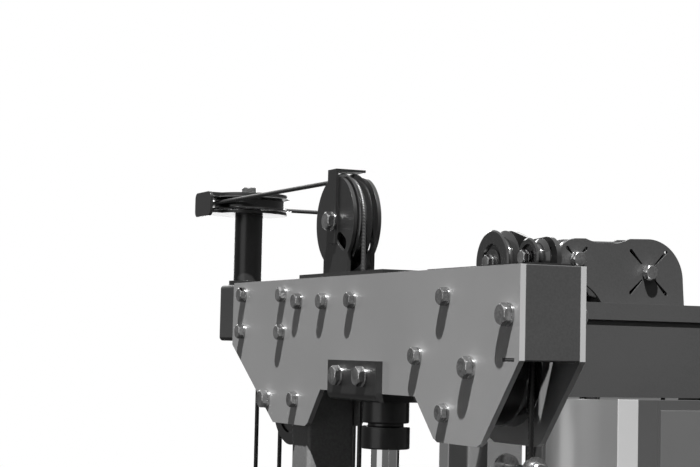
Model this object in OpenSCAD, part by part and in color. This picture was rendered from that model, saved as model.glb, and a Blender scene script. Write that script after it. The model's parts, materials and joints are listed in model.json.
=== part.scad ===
// Home gym station with one weight-stack tower, a lat pulldown, fly arms and a leg developer.
// Origin: on the floor under the main upright. +Z is up, the user sits on the -Y side,
// and the tower stands on the +X side. Parts of the boom use the boom's own frame,
// which starts at its front end, at its top edge: +Y runs back along it, z is below zero.

/* [Boom] */
// Height of the boom's top edge above the floor
boom_top = 2000; // [1960:10:2040]
// Distance from the main upright back to the boom's front end
boom_reach = 522; // [515:1:530]
// Length of the boom's side plates
boom_len = 738; // [730:1:745]
// Thickness of the side plates
plate_t = 6; // [5:0.5:7]
// Width of the tube between the side plates
boom_w = 60; // [58:1:64]
// Height of the boom tube
tube_h = 74; // [70:1:76]
// Length of tube that shows behind the side plates
tail_len = 62; // [55:1:66]
// Depth of the plates at the front end
nose_h = 90; // [88:1:95]
// Depth of the plates at the two lobes
lobe_h = 174; // [170:1:178]
// Depth of the plates between the lobes
waist_h = 130; // [126:1:132]
// Wall of every square tube
wall = 3; // [2:0.5:4]

/* [Cable and pulleys] */
// Radius of the coated steel cable
cable_r = 2.7; // [2:0.1:2.8]
// Groove radius of the large pulleys, to the middle of the cable
groove_r = 50; // [48:1:52]
// Height of a pulley's rim above the middle of the cable
rim_h = 7; // [6:0.5:8]
// Width of a large pulley
pulley_w = 17; // [15:0.5:19]
// Sideways place of the lat cable
lat_x = 4; // [3:0.5:5]
// Sideways place of the upper cable
upper_x = -5; // [-6:0.5:-4]
// Groove radius of the floating pulleys
block_r = 40; // [38:1:42]
// Groove radius of the large pulley over the stack
stack_r = 34; // [32:1:35]
// Groove radius of the small pulley beside it
guide_r = 20; // [18:1:21]
// Groove radius of the turning pulley behind the boom
turn_r = 26; // [24:1:28]
// Groove radius of the two base pulleys
base_r = 40; // [36:1:44]

/* [Frame] */
// Width of the main upright, sideways
upright_w = 60; // [56:1:64]
// Depth of the main upright
upright_d = 50; // [46:1:54]
// Height of the base rails
rail_h = 60; // [50:1:66]
// Height of the rubber feet
foot_h = 12; // [8:1:16]
// Length of the base rail in front of the upright
base_front = 720; // [700:10:760]
// Length of the base rail behind the upright
base_back = 330; // [325:1:340]
// Length of the two cross feet
cross_len = 640; // [560:10:700]
// Radius of the chrome swivel column
column_r = 16; // [14:1:18]
// Distance from the upright to the swivel column
column_y = 171; // [168:1:174]

/* [Tower] */
// Distance from the boom to the tower's near side
tower_x = 190; // [186:1:194]
// Width of the tower
tower_w = 380; // [370:1:390]
// Depth of the tower
tower_d = 308; // [300:1:316]
// Distance from the upright forward to the tower's front
tower_front = 247; // [240:1:252]
// Corner radius of the tower's front sheet
tower_r = 45; // [35:1:50]
// Height of the tower's sheets above the floor
tower_z = 200; // [195:5:240]
// Height of the cross beam
beam_h = 110; // [105:1:112]
// Thickness of one weight plate
weight_t = 25; // [20:1:28]
// Number of weight plates in the stack
weights = 15; // [8:1:16]
// Number of weight plates that are lifted as drawn
lifted = 6; // [2:1:7]
// Sideways distance between the two guide rods
rod_gap = 210; // [190:2:220]

/* [Seat and arms] */
// Height of the seat's top
seat_h = 500; // [460:5:520]
// Width of the seat
seat_w = 300; // [260:5:340]
// Length of the seat
seat_l = 330; // [300:5:340]
// Thickness of the pads
pad_t = 55; // [45:1:60]
// Height of the back pad
back_h = 640; // [560:10:700]
// Width of the back pad
back_w = 250; // [220:5:280]
// Length of a fly arm, from the column to its drop tube
arm_l = 380; // [360:5:390]
// Radius of the fly arms' tubes
arm_r = 19; // [17:1:20]
// Angle of a fly arm from straight ahead, at rest
arm_rest = 50; // [46:1:52]
// Radius of the foam rollers
foam_r = 42; // [36:1:46]
// Length of the lat bar
bar_len = 1100; // [900:10:1120]
// Radius of the lat bar
bar_r = 14; // [12:1:15]

/* [Hidden] */
$fn = 48;
fit = 0.05;          // running fit between an axle and its bore, on the radius
gap = 0.3;           // clearance between pieces that slide or turn past each other
hole_fit = 0.3;      // clearance of a bolt hole, on the radius
plate_in = boom_w / 2;
plate_out = plate_in + plate_t;
rim_r = groove_r + rim_h;
rail_z = foot_h + rail_h;
m8 = 4;
m10 = 5;
m12 = 6;

// The boom's own frame
module at_boom() {
    translate([0, -boom_reach, boom_top]) children();
}

// Turns a part that is drawn along Z so that it runs along X or along Y
module along_x() {
    rotate([0, 90, 0]) children();
}

module along_y() {
    rotate([-90, 0, 0]) children();
}

// A flat outline in the boom's YZ plane, given as [back, up], made into a plate from x0 to x1
module side_plate(x0, x1) {
    translate([x0, 0, 0]) rotate([90, 0, 90]) linear_extrude(x1 - x0) children();
}

module rounded(w, d, r) {
    square([w - 2 * r, d], center = true);
    square([w, d - 2 * r], center = true);
    for (sx = [-1, 1], sy = [-1, 1])
        translate([sx * (w / 2 - r), sy * (d / 2 - r)]) circle(r);
}

// A square tube along Z, standing on z = 0
module tube(w, d, len, r = 5) {
    linear_extrude(len) difference() {
        rounded(w, d, r);
        rounded(w - 2 * wall, d - 2 * wall, r - wall + 1);
    }
}

// A box from one corner to the other
module block(a, b) {
    translate(a) cube(b - a);
}

// A hex head with its washer, on z = 0 and pointing to +Z
module hex_head(r) {
    washer_t = 0.22 * r + 1;
    cylinder(washer_t, r = 1.9 * r);
    translate([0, 0, washer_t]) intersection() {
        cylinder(1.3 * r, r = 1.85 * r, $fn = 6);
        cylinder(1.3 * r + 1.1 * r, r1 = 1.85 * r + 0.9 * r, r2 = 0.5 * r);
    }
}

// A bolt along X from x0 to x1, with a head at x0 and a nut at x1
module bolt_x(x0, x1, y, z, r) {
    translate([x0, y, z]) rotate([0, -90, 0]) rotate([0, 0, 0]) hex_head(r);
    translate([x0, y, z]) along_x() cylinder(x1 - x0, r = r);
    translate([x1, y, z]) along_x() hex_head(r);
}

// The hollow sleeve that keeps two plates apart on a bolt along X
module sleeve_x(x0, x1, y, z, r, out) {
    translate([x0, y, z]) along_x() difference() {
        cylinder(x1 - x0, r = out);
        translate([0, 0, -1]) cylinder(x1 - x0 + 2, r = r + hole_fit);
    }
}

// A grooved pulley around Z, centred on z = 0
module pulley(groove, rim, width, bore, flat = 0) {
    face = width / 2;
    hub = bore + 9;
    lip = 1.4;
    slack = cable_r + gap;
    rotate_extrude() difference() {
        polygon([[bore, -face], [rim - lip, -face], [rim, -face + lip],
            [rim, face - lip], [rim - lip, face], [bore, face]]);
        translate([groove, 0]) circle(slack);
        translate([groove - slack, 0]) square([0.01, 2 * flat + 0.01], center = true);
        polygon([[groove - (flat > 0 ? slack : 0), -slack - flat], [rim + 1, 1 - face],
            [rim + 1, face - 1], [groove - (flat > 0 ? slack : 0), slack + flat]]);
        for (s = [-1, 1])
            polygon([[hub, s * (face + 1)], [hub, s * (face - 2.5)],
                [groove - 9, s * (face - 2.5)], [groove - 7, s * (face + 1)]]);
    }
}

/* Boom */

// Bolts through both side plates: distance from the front end, drop below the top, radius
plate_bolts = [[146, 28, m10], [206, 88, m10], [144, 144, m10], [368, 28, m10],
    [21, 47, m12]];
tube_bolts = [[446, 28, m10], [519.5, 27, m10], [568, 18, m10], [571, 64, m10],
    [700, 16, m10], [702, 63, m10]];
// Axle of the lat pulley and of the rear pulley, in the boom's frame
lat_axle = [94, -98];
rear_axle = [615, -146];
upright_bolt = [525, -144];
// The swivel bracket under the boom
pivot_y = boom_reach - column_y;
pivot_w = 126;
pivot_bolts = [pivot_y - 31, pivot_y + 31];
pivot_bolt_z = -112;
pivot_t = 8;
// The tube starts behind the cable that drops beside the upright
tube_start = 440;
slot_y = [9, 31];

module lobe_outline() {
    r = 8;
    difference() {
        polygon([[0, 0], [0, -nose_h], [73, -lobe_h], [165, -lobe_h], [211, -waist_h],
            [452, -waist_h], [490, -lobe_h], [593, -lobe_h], [boom_len, -80],
            [boom_len, -3], [boom_len - 3, 0]]);
        translate([73, -lobe_h]) rotate(-24.5) square([r, r / 2], center = true);
        translate([165, -lobe_h]) rotate(22) square([r, r / 2], center = true);
        translate([490, -lobe_h]) rotate(-24.5) square([r, r / 2], center = true);
    }
}

module plate_holes() {
    for (b = concat(plate_bolts, tube_bolts))
        translate([b[0], -b[1]]) circle(b[2] + hole_fit);
    for (a = [lat_axle, rear_axle])
        translate(a) circle(m12 + hole_fit);
    translate(upright_bolt) circle(m10 + hole_fit);
    for (y = pivot_bolts)
        translate([y, pivot_bolt_z]) circle(m12 + hole_fit);
    translate([slot_y[0], -nose_h - 1.2]) square([slot_y[1] - slot_y[0], 3.4]);
}

module boom_plate(x0) {
    at_boom() side_plate(x0, x0 + plate_t) difference() {
        lobe_outline();
        plate_holes();
    }
}

module boom_plate_left() {
    color("dimgray") boom_plate(-plate_out);
}

module boom_plate_right() {
    color("dimgray") boom_plate(plate_in);
}

module boom_tube() {
    color([0.12, 0.12, 0.12]) at_boom() difference() {
        translate([0, tube_start, -1 - tube_h / 2]) along_y()
            tube(boom_w, tube_h, boom_len + tail_len - tube_start);
        for (b = tube_bolts)
            translate([-boom_w, b[0], -b[1]]) along_x()
                cylinder(2 * boom_w, r = b[2] + hole_fit);
    }
    // The end cap closes the tube's tail
    color([0.12, 0.12, 0.12]) at_boom()
        translate([0, boom_len + tail_len, -1 - tube_h / 2]) along_y()
            linear_extrude(2) rounded(boom_w, tube_h, 5);
}

module end_cover() {
    lip = 60;
    t = 3;
    color([0.18, 0.18, 0.18]) at_boom() {
        block([-plate_in, 0, -nose_h], [plate_in, t, 0]);
        difference() {
            block([-plate_in, t, -t], [plate_in, lip, 0]);
            block([-26, 12, -t - 1], [26, lip + 1, 1]);
        }
        block([-plate_in, t, -nose_h], [plate_in, slot_y[1] + 2, -nose_h + t]);
        block([-plate_out, slot_y[0] + 0.5, -nose_h - 0.8],
            [plate_out, slot_y[1] - 0.5, -nose_h + 1.8]);
    }
}

module boom_bolts() {
    color("silver") at_boom() {
        for (b = plate_bolts) {
            bolt_x(-plate_out, plate_out, b[0], -b[1], b[2]);
            sleeve_x(-plate_in, plate_in, b[0], -b[1], b[2], b[2] + 4);
        }
        for (b = tube_bolts)
            bolt_x(-plate_out, plate_out, b[0], -b[1], b[2]);
        bolt_x(-plate_out, plate_out, upright_bolt[0], upright_bolt[1], m10);
        for (y = pivot_bolts)
            bolt_x(-plate_out - pivot_t, plate_out + pivot_t, y, pivot_bolt_z, m12);
        for (a = [lat_axle, rear_axle]) {
            bolt_x(-plate_out, plate_out, a[0], a[1], m12);
            sleeve_x(-plate_in, lat_x - pulley_w / 2 - gap, a[0], a[1], m12, 11);
            sleeve_x(lat_x + pulley_w / 2 + gap, plate_in, a[0], a[1], m12, 11);
        }
    }
}

// The saddle that carries the swivel column: two flanges outside the plates and a web
module pivot_bracket() {
    web_top = -waist_h - 1;
    bottom = web_top - pivot_t;
    color([0.13, 0.13, 0.13]) at_boom() difference() {
        translate([0, pivot_y - pivot_w / 2, 0]) along_y() linear_extrude(pivot_w)
            difference() {
                union() {
                    translate([-plate_out - pivot_t, 95])
                        square([2 * (plate_out + pivot_t), -bottom - 95 - 8]);
                    translate([0, -bottom - 12]) rounded(2 * (plate_out + pivot_t), 24, 8);
                }
                translate([-plate_out, 90]) square([2 * plate_out, -web_top - 90]);
            }
        for (y = pivot_bolts)
            translate([-100, y, pivot_bolt_z]) along_x() cylinder(200, r = m12 + hole_fit);
        translate([0, pivot_y, bottom - 1]) cylinder(pivot_t + 2, r = column_r + gap);
        // Notch for the upper cable
        block([upper_x - 8, vert[0] - groove_r - 8, bottom - 1], [upper_x + 8, 450, web_top + 1]);
    }
}

collar_top = -waist_h - 1 - pivot_t;
collar_h = 53;

module column_collar() {
    color([0.1, 0.1, 0.1]) at_boom() translate([0, pivot_y, collar_top]) {
        rotate_extrude() polygon([[column_r + gap, 0], [25, 0], [26, -1], [26, -23.5],
            [25, -24.5], [20, -24.5], [20, -28], [26, -28], [27, -29], [27, -52],
            [26, -collar_h], [column_r + gap, -collar_h]]);
    }
}

// Lower bearing of the column, on two straps from the upright
column_foot_z = 1400;
column_foot_h = 40;

module swivel_column() {
    top = boom_top - waist_h - 1 - 0.5;
    color("silver") translate([0, -column_y, column_foot_z + 8])
        cylinder(top - column_foot_z - 8, r = column_r);
}

/* Horizontal pulley behind the boom's tail */

post_y = 782;
horiz_z = 107;
post_r = 18.7;

module horizontal_yoke() {
    low = horiz_z - pulley_w / 2 - 1;
    high = horiz_z + pulley_w / 2 + 1;
    color([0.11, 0.11, 0.11]) at_boom() translate([0, post_y, 0]) {
        difference() {
            cylinder(low - 4, r = post_r);
            translate([0, 0, low - 22]) cylinder(30, r = m12);
        }
        translate([0, 0, -1]) cylinder(6, r = post_r + 6);
        for (z = [low - 4, high])
            translate([0, 0, z]) linear_extrude(4) difference() {
                union() {
                    circle(rim_r - 6);
                    translate([-rim_r - 6, -20]) square([rim_r + 6, 40]);
                }
                circle(m12 + hole_fit);
            }
        // The keeper plate beside the pulley joins both discs
        translate([-rim_r - 9.5, 0, horiz_z - 2]) along_x()
            linear_extrude(4) rounded(32, 58, 8);
    }
}

module horizontal_pulley() {
    color([0.06, 0.06, 0.06]) at_boom() translate([0, post_y, horiz_z])
        pulley(groove_r, rim_r, pulley_w, m12 + fit, flat = 1.5);
}

/* Vertical pulley above the boom */

vert = [458, 66];
yoke_in = 13;
yoke_t = 4.5;
yoke_x = upper_x + 3;
yoke_base = [305, 535];

module yoke_side() {
    difference() {
        union() {
            translate(vert) circle(53);
            polygon([[vert[0] - 52, vert[1] - 10], [vert[0] + 52, vert[1] - 10],
                [488, 28], [488, 5], [421, 5], [421, 28]]);
        }
        translate(vert) circle(m12 + hole_fit);
        translate([vert[0] - 20, vert[1] - 24]) rotate(30) {
            translate([-6, 0]) circle(8);
            translate([6, 0]) circle(8);
            square([12, 16], center = true);
        }
    }
}

module vertical_yoke() {
    color([0.11, 0.11, 0.11]) at_boom() {
        side_plate(yoke_x - yoke_in - yoke_t, yoke_x - yoke_in) yoke_side();
        side_plate(yoke_x + yoke_in, yoke_x + yoke_in + yoke_t) yoke_side();
        // The web between the two stems
        block([yoke_x - yoke_in, 484, 5], [yoke_x + yoke_in, 488, 12]);
        difference() {
            block([-plate_in, yoke_base[0], 0], [plate_in, yoke_base[1], 5]);
            translate([upper_x, vert[0] - groove_r, -1]) cylinder(8, r = cable_r + 3);
        }
        // The hooked keeper strip on the near side plate bends over the pulley
        strip_x = yoke_x - yoke_in - yoke_t;
        difference() {
            block([strip_x - 3, 450, 40], [strip_x, 474, 127.5]);
            translate([strip_x - 4, vert[0], vert[1]]) along_x()
                cylinder(5, r = m12 + hole_fit);
        }
        block([strip_x, 450, 124.5], [yoke_x + yoke_in + yoke_t, 474, 127.5]);
    }
}

module vertical_pulley() {
    color([0.06, 0.06, 0.06]) at_boom() translate([upper_x, vert[0], vert[1]]) along_x()
        pulley(groove_r, rim_r, pulley_w, m12 + fit, flat = 1.8);
}

/* Small bracket on the boom's nose */

small_x = 12.7;
small_a = [105, 6];
small_b = [36, 8];
small_ra = 32;
small_rb = 20;

// Four tapered slots in an X around a bolt
module cross_slots(r0, r1) {
    for (a = [45 : 90 : 315])
        rotate(a) polygon([[r0, -0.8], [r1 - 2, -2.2], [r1, 0], [r1 - 2, 2.2], [r0, 0.8]]);
}

module small_bracket() {
    color([0.12, 0.12, 0.12]) at_boom() {
        side_plate(small_x, small_x + 5) difference() {
            union() {
                translate(small_a) circle(small_ra);
                translate(small_b) circle(small_rb + 1);
                polygon([[small_a[0] + small_ra, 2], [small_a[0] + small_ra, small_a[1]],
                    [small_a[0] - 8, small_a[1] + 31], [74, 30.5], [62, 27.5],
                    [small_b[0], small_b[1] + small_rb + 1], [small_b[0] - 21, small_b[1]],
                    [small_b[0] - 21, 2]]);
            }
            translate([0, -60]) square([200, 62]);
            translate(small_a) cross_slots(9, 24);
            translate(small_b) cross_slots(7, 15);
            translate(small_a) circle(m8 + hole_fit);
            translate(small_b) circle(m8 + hole_fit);
        }
        difference() {
            block([-22, 4, 0], [22, 215, 2]);
            block([-10, 12, -1], [10, small_a[0] + small_ra + 2, 3]);
            for (p = [small_a, small_b], x = [-24, small_x + 5])
                translate([x, p[0], p[1]]) along_x() cylinder(15, r = 9);
        }
    }
}

module small_pulley_rear() {
    color([0.06, 0.06, 0.06]) at_boom() translate([0, small_a[0], small_a[1]])
        along_x() pulley(small_ra - 6, small_ra, 16, m8 + fit);
}

module small_pulley_front() {
    color([0.06, 0.06, 0.06]) at_boom() translate([0, small_b[0], small_b[1]])
        along_x() pulley(small_rb - 5, small_rb - 1, 16, m8 + fit);
}

/* Cross beam and its pulley bracket, over the tower */

beam_top = -22;
beam_front = 320;
beam_back = 412;
beam_x0 = 62;
beam_x1 = tower_x + tower_w;
bracket_t = 4;
// Plane of the pulleys over the stack, and the bolts as [sideways, up]
stack_plane = 366;
stack_pin = [tower_x + tower_w / 2 - stack_r, 17];
guide_pin = [stack_pin[0] - 101, 29];
bracket_gap = 24;
bracket_top = 57;

module cross_beam() {
    crease = 20;
    step = 2.5;
    mid = (beam_front + beam_back) / 2;
    color([0.16, 0.16, 0.16]) at_boom() difference() {
        union() {
            translate([beam_x0, 0, 0]) rotate([90, 0, 90])
                linear_extrude(beam_x1 - beam_x0) difference() {
                    polygon([[beam_front, beam_top], [beam_front, beam_top - crease],
                        [beam_front + step, beam_top - crease - 1], [beam_front + step, beam_top - beam_h],
                        [beam_back, beam_top - beam_h], [beam_back, beam_top]]);
                    translate([beam_front + wall + step, beam_top - beam_h + wall])
                        square([beam_back - beam_front - 2 * wall - step, beam_h - 2 * wall]);
                }
            // The stub that bolts to the boom's far plate
            block([plate_out, beam_front + 2, beam_top - 66], [beam_x0, beam_back - 2, beam_top - 2]);
            block([beam_x1 - wall, beam_front + step + 1, beam_top - beam_h + 1],
                [beam_x1 + 1, beam_back - 1, beam_top - 1]);
        }
        // The cable to the stack and the one to the base run down through the beam
        for (x = [stack_pin[0] + stack_r, guide_pin[0] - guide_r])
            translate([x, stack_plane, beam_top - beam_h - 1]) cylinder(beam_h + 2, r = cable_r + 5);
        pulley_slot();
        // Room for the nut of the boom's bolt
        translate([plate_out - 1, 368, -28]) along_x() cylinder(20, r = 13);
    }
}

// Room for the large pulley, whose rim dips into the beam
module pulley_slot() {
    half = guide_w / 2 + 2;
    block([stack_pin[0] - stack_r - 9, stack_plane - half, beam_top - 9],
        [stack_pin[0] + stack_r + 9, stack_plane + half, beam_top + 20]);
}

guide_w = 15;

module bracket_outline() {
    left = [guide_pin[0] + 1, 24.5];
    left_r = 29;
    right = [stack_pin[0], bracket_top - 50];
    difference() {
        union() {
            translate(left) circle(left_r);
            translate(right) circle(50);
            polygon([[left[0] - left_r, left[1]], [left[0], left[1] + left_r], [right[0], bracket_top],
                [right[0] + 50, right[1]], [right[0] + 52, beam_top],
                [left[0] - left_r, beam_top]]);
        }
        // The shallow saddle between the humps and the arch beside the foot
        translate([left[0] + 40, 128.6]) circle(80);
        translate([left[0] - 12, -48]) circle(53);
        translate([0, beam_top - 60]) square([600, 60]);
        translate(guide_pin) cross_slots(9, 21);
        translate(stack_pin) cross_slots(13, 38);
        translate(guide_pin) circle(m10 + hole_fit);
        translate(stack_pin) circle(m10 + hole_fit);
    }
}

// Two equal plates carry the pulleys between them, and a strip ties them at the foot
module tower_bracket() {
    foot = 1.5 * bracket_t;
    color([0.13, 0.13, 0.13]) at_boom() {
        for (s = [-1, 1])
            translate([0, stack_plane + s * (bracket_gap + bracket_t) / 2 + bracket_t / 2, 0])
                rotate([90, 0, 0]) linear_extrude(bracket_t) bracket_outline();
        difference() {
            block([guide_pin[0] + 36, stack_plane - bracket_gap / 2, beam_top],
                [stack_pin[0] + 52, stack_plane + bracket_gap / 2, beam_top + foot]);
            pulley_slot();
        }
    }
}

module bolt_y(y0, y1, x, z, r) {
    translate([x, y0, z]) rotate([90, 0, 0]) hex_head(r);
    translate([x, y0, z]) along_y() cylinder(y1 - y0, r = r);
    translate([x, y1, z]) along_y() hex_head(r);
}

module sleeve_y(y0, y1, x, z, r, out) {
    translate([x, y0, z]) along_y() difference() {
        cylinder(y1 - y0, r = out);
        translate([0, 0, -1]) cylinder(y1 - y0 + 2, r = r + hole_fit);
    }
}

module tower_pulley_large() {
    color([0.06, 0.06, 0.06]) at_boom() translate([stack_pin[0], stack_plane, stack_pin[1]])
        along_y() pulley(stack_r, stack_r + 5, guide_w, m10 + fit);
}

module tower_pulley_small() {
    color([0.06, 0.06, 0.06]) at_boom() translate([guide_pin[0], stack_plane, guide_pin[1]])
        along_y() pulley(guide_r, guide_r + 4, guide_w, m10 + fit);
}

/* Turning pulley behind the boom, and the two base pulleys */

turn = [160, horiz_z - turn_r];
turn_y = post_y + groove_r;
turn_w = 14;
turn_gap = turn_w / 2 + gap + 1;
turn_arm_z = -14;

// The base pulleys stand in one upright plane from the tower to the floating block
block_y0 = rear_axle[0] + groove_r - boom_reach;
block_y1 = block_y0 + 2 * block_r;
base_z = rail_z + base_r + 23;
base_start = [guide_pin[0] - guide_r, stack_plane - boom_reach];
base_end = [lat_x, block_y0];
base_run = norm(base_end - base_start);
base_turn = atan2(base_end[1] - base_start[1], base_end[0] - base_start[0]);
base_w = 15;

// The frame of the base pulleys: +X runs from the tower to the floating block
module at_base() {
    translate([base_start[0], base_start[1], base_z]) rotate([0, 0, base_turn]) children();
}

module base_cheeks(x) {
    inner = base_w / 2 + gap + 1;
    for (s = [-1, 1])
        translate([0, s * (inner + 2) + 2, 0]) rotate([90, 0, 0]) linear_extrude(4)
            difference() {
                union() {
                    translate([x, 0]) circle(22);
                    translate([x - 22, rail_z - base_z]) square([44, base_z - rail_z]);
                }
                translate([x, 0]) circle(m10 + hole_fit);
            }
}

module pulley_brackets() {
    color([0.13, 0.13, 0.13]) {
        at_boom() {
            // Arm from the boom's tail, with an upright fork at its end
            block([plate_in, 744, turn_arm_z - 40], [turn[0] + 20, 794, turn_arm_z]);
            block([turn[0] - 20, 744, turn_arm_z], [turn[0] + 20, turn_y + turn_gap + 4,
                turn_arm_z + 4]);
            for (y = [turn_y - turn_gap - 4, turn_y + turn_gap])
                translate([0, y + 4, 0]) rotate([90, 0, 0]) linear_extrude(4) difference() {
                    union() {
                        translate(turn) circle(16);
                        translate([turn[0] - 16, turn_arm_z + 4])
                            square([32, turn[1] - turn_arm_z - 4]);
                    }
                    translate(turn) circle(m10 + hole_fit);
                }
        }
        at_base() {
            base_cheeks(base_r);
            base_cheeks(base_run - base_r);
        }
    }
}

module turning_pulley() {
    color([0.06, 0.06, 0.06]) at_boom() translate([turn[0], turn_y, turn[1]])
        along_y() pulley(turn_r, turn_r + 6, turn_w, m10 + fit);
}

module base_pulley_tower() {
    color([0.06, 0.06, 0.06]) at_base() translate([base_r, 0, 0])
        along_y() pulley(base_r, base_r + 6, base_w, m10 + fit);
}

module base_pulley_rear() {
    color([0.06, 0.06, 0.06]) at_base() translate([base_run - base_r, 0, 0])
        along_y() pulley(base_r, base_r + 6, base_w, m10 + fit);
}

// The bolts that the pulleys turn on
module pulley_bolts() {
    half = bracket_gap / 2;
    color("silver") {
        at_boom() {
            for (p = [stack_pin, guide_pin]) {
                bolt_y(stack_plane - half - bracket_t, stack_plane + half + bracket_t,
                    p[0], p[1], m10);
                sleeve_y(stack_plane - half, stack_plane - guide_w / 2 - gap, p[0], p[1], m10, 9);
                sleeve_y(stack_plane + guide_w / 2 + gap, stack_plane + half, p[0], p[1], m10, 9);
            }
            bolt_y(turn_y - turn_gap - 4, turn_y + turn_gap + 4, turn[0], turn[1], m10);
            bolt_x(yoke_x - yoke_in - yoke_t - 3, yoke_x + yoke_in + yoke_t, vert[0], vert[1], m12);
            sleeve_x(yoke_x - yoke_in, upper_x - pulley_w / 2 - gap, vert[0], vert[1], m12, 11);
            sleeve_x(upper_x + pulley_w / 2 + gap, yoke_x + yoke_in, vert[0], vert[1], m12, 11);
            for (p = [small_a, small_b])
                bolt_x(-8 - gap, small_x + 5, p[0], p[1], m8);
            translate([0, post_y, horiz_z + pulley_w / 2 + 5]) hex_head(m12);
            translate([0, post_y, horiz_z - pulley_w / 2 - 23])
                cylinder(pulley_w + 28, r = m12);
        }
        at_base() for (x = [base_r, base_run - base_r])
            bolt_y(-base_w / 2 - gap - 5, base_w / 2 + gap + 5, x, 0, m10);
    }
}

module lat_pulley() {
    color([0.06, 0.06, 0.06]) at_boom() translate([lat_x, lat_axle[0], lat_axle[1]])
        along_x() pulley(groove_r, rim_r, pulley_w, m12 + fit);
}

module rear_pulley() {
    color([0.06, 0.06, 0.06]) at_boom() translate([lat_x, rear_axle[0], rear_axle[1]])
        along_x() pulley(groove_r, rim_r, pulley_w, m12 + fit);
}

/* Floating block: it hangs in the lat cable and pulls the stack cable */

block_z = 1010;
block_pitch = 110;
block_y = (block_y0 + block_y1) / 2;
block_w = 15;

module at_block(z) {
    translate([lat_x, block_y, z]) along_x() children();
}

module floating_block() {
    inner = block_w / 2 + gap + 1;
    color([0.6, 0.6, 0.62]) difference() {
        for (s = [-1, 1])
            translate([lat_x + s * (inner + 2) - 2, 0, 0]) rotate([90, 0, 90]) linear_extrude(4)
                translate([block_y, block_z - block_pitch / 2]) rounded(36, block_pitch + 36, 17);
        for (z = [block_z, block_z - block_pitch])
            translate([lat_x - 50, block_y, z]) along_x() cylinder(100, r = m10 + hole_fit);
    }
    color("silver") for (z = [block_z, block_z - block_pitch])
        bolt_x(lat_x - inner - 4, lat_x + inner + 4, block_y, z, m10);
}

module block_pulley_upper() {
    color([0.06, 0.06, 0.06]) at_block(block_z) pulley(block_r, block_r + 6, block_w, m10 + fit);
}

module block_pulley_lower() {
    color([0.06, 0.06, 0.06]) at_block(block_z - block_pitch)
        pulley(block_r, block_r + 6, block_w, m10 + fit);
}

/* Frame */

upright_top = boom_top - 100;
rail_w = 60;
tower_mid = tower_x + tower_w / 2;
tower_y0 = -tower_front;
tower_y1 = tower_y0 + tower_d;
foot_r = 24;

module main_upright() {
    color([0.1, 0.1, 0.1]) difference() {
        union() {
            translate([0, 0, rail_z + 6]) tube(upright_w, upright_d, upright_top - rail_z - 6);
            block([-upright_w / 2, -70, rail_z], [upright_w / 2, 70, rail_z + 6]);
            translate([0, 0, upright_top]) linear_extrude(2) rounded(upright_w, upright_d, 5);
        }
        translate([-50, upright_bolt[0] - boom_reach, boom_top + upright_bolt[1]]) along_x()
            cylinder(100, r = m10 + hole_fit);
    }
}

module base_beam() {
    color([0.1, 0.1, 0.1]) translate([0, -base_front + rail_w, foot_h + rail_h / 2]) along_y()
        tube(rail_w, rail_h, base_front + base_back - 2 * rail_w);
}

// Cross feet at the front and the back, and the rail under the tower
module base_rails() {
    back = base_back - rail_w / 2;
    color([0.1, 0.1, 0.1]) {
        for (y = [-base_front + rail_w / 2, back])
            translate([-cross_len / 2, y, foot_h + rail_h / 2]) along_x()
                tube(rail_h, rail_w, cross_len);
        translate([rail_w / 2, stack_plane - boom_reach, foot_h + rail_h / 2]) along_x()
            tube(rail_h, rail_w, tower_x + tower_w - rail_w / 2 - 5);
        for (s = [-1, 1])
            translate([0, s > 0 ? tower_y1 - 40 : tower_y0 + 3, 0])
                block([tower_x, 0, rail_z], [tower_x + tower_w, 37, rail_z + 30]);
    }
}

module rubber_feet() {
    back = base_back - rail_w / 2;
    out = cross_len / 2 - foot_r;
    color([0.05, 0.05, 0.05])
        for (p = [[0, 0], [-out, -base_front + rail_w / 2], [out, -base_front + rail_w / 2],
            [-out, back], [out, back], [tower_x + tower_w - foot_r - 6, stack_plane - boom_reach]])
            translate([p[0], p[1], 0]) rotate_extrude()
                polygon([[0, 0], [foot_r, 0], [foot_r + 1, foot_h / 2], [foot_r - 3, foot_h],
                    [0, foot_h]]);
}

/* Tower */

sheet_t = 2.5;
beam_under = boom_top + beam_top - beam_h;
post_grey = [333, 371];
post_black = [512, 559];
front_end = 323.5;
window_y = [384, 510];
sheet_top = beam_under - 1;

// The near and far corner posts, from the base rail to the cross beam
module tower_posts() {
    color([0.3, 0.3, 0.3])
        for (x = [tower_x + 1, tower_x + tower_w - 31]) {
            block([x, post_grey[0] - boom_reach, tower_z - 1],
                [x + 30, post_grey[1] - boom_reach, beam_under]);
            block([x, tower_y0 + tower_r, tower_z - 15],
                [x + 30, post_black[0] - boom_reach, tower_z - 1]);
        }
    color([0.08, 0.08, 0.08]) {
        for (x = [tower_x + 1, tower_x + tower_w - 31])
            block([x, post_black[0] - boom_reach, rail_z + 30],
                [x + 30, post_black[1] - boom_reach, beam_under]);
        block([tower_x + 1, beam_back - boom_reach, beam_under],
            [tower_x + tower_w - 1, post_black[1] - boom_reach, beam_under + 20]);
        // The floor of the tower, cut away round the base pulley
        difference() {
            block([tower_x + 1, tower_y0 + 3, rail_z + 30],
                [tower_x + tower_w - 1, post_black[1] - boom_reach, rail_z + 34]);
            block([tower_x - 1, stack_plane - boom_reach - 34, rail_z],
                [tower_x + 50, stack_plane - boom_reach + 90, rail_z + 60]);
        }
    }
}

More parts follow.
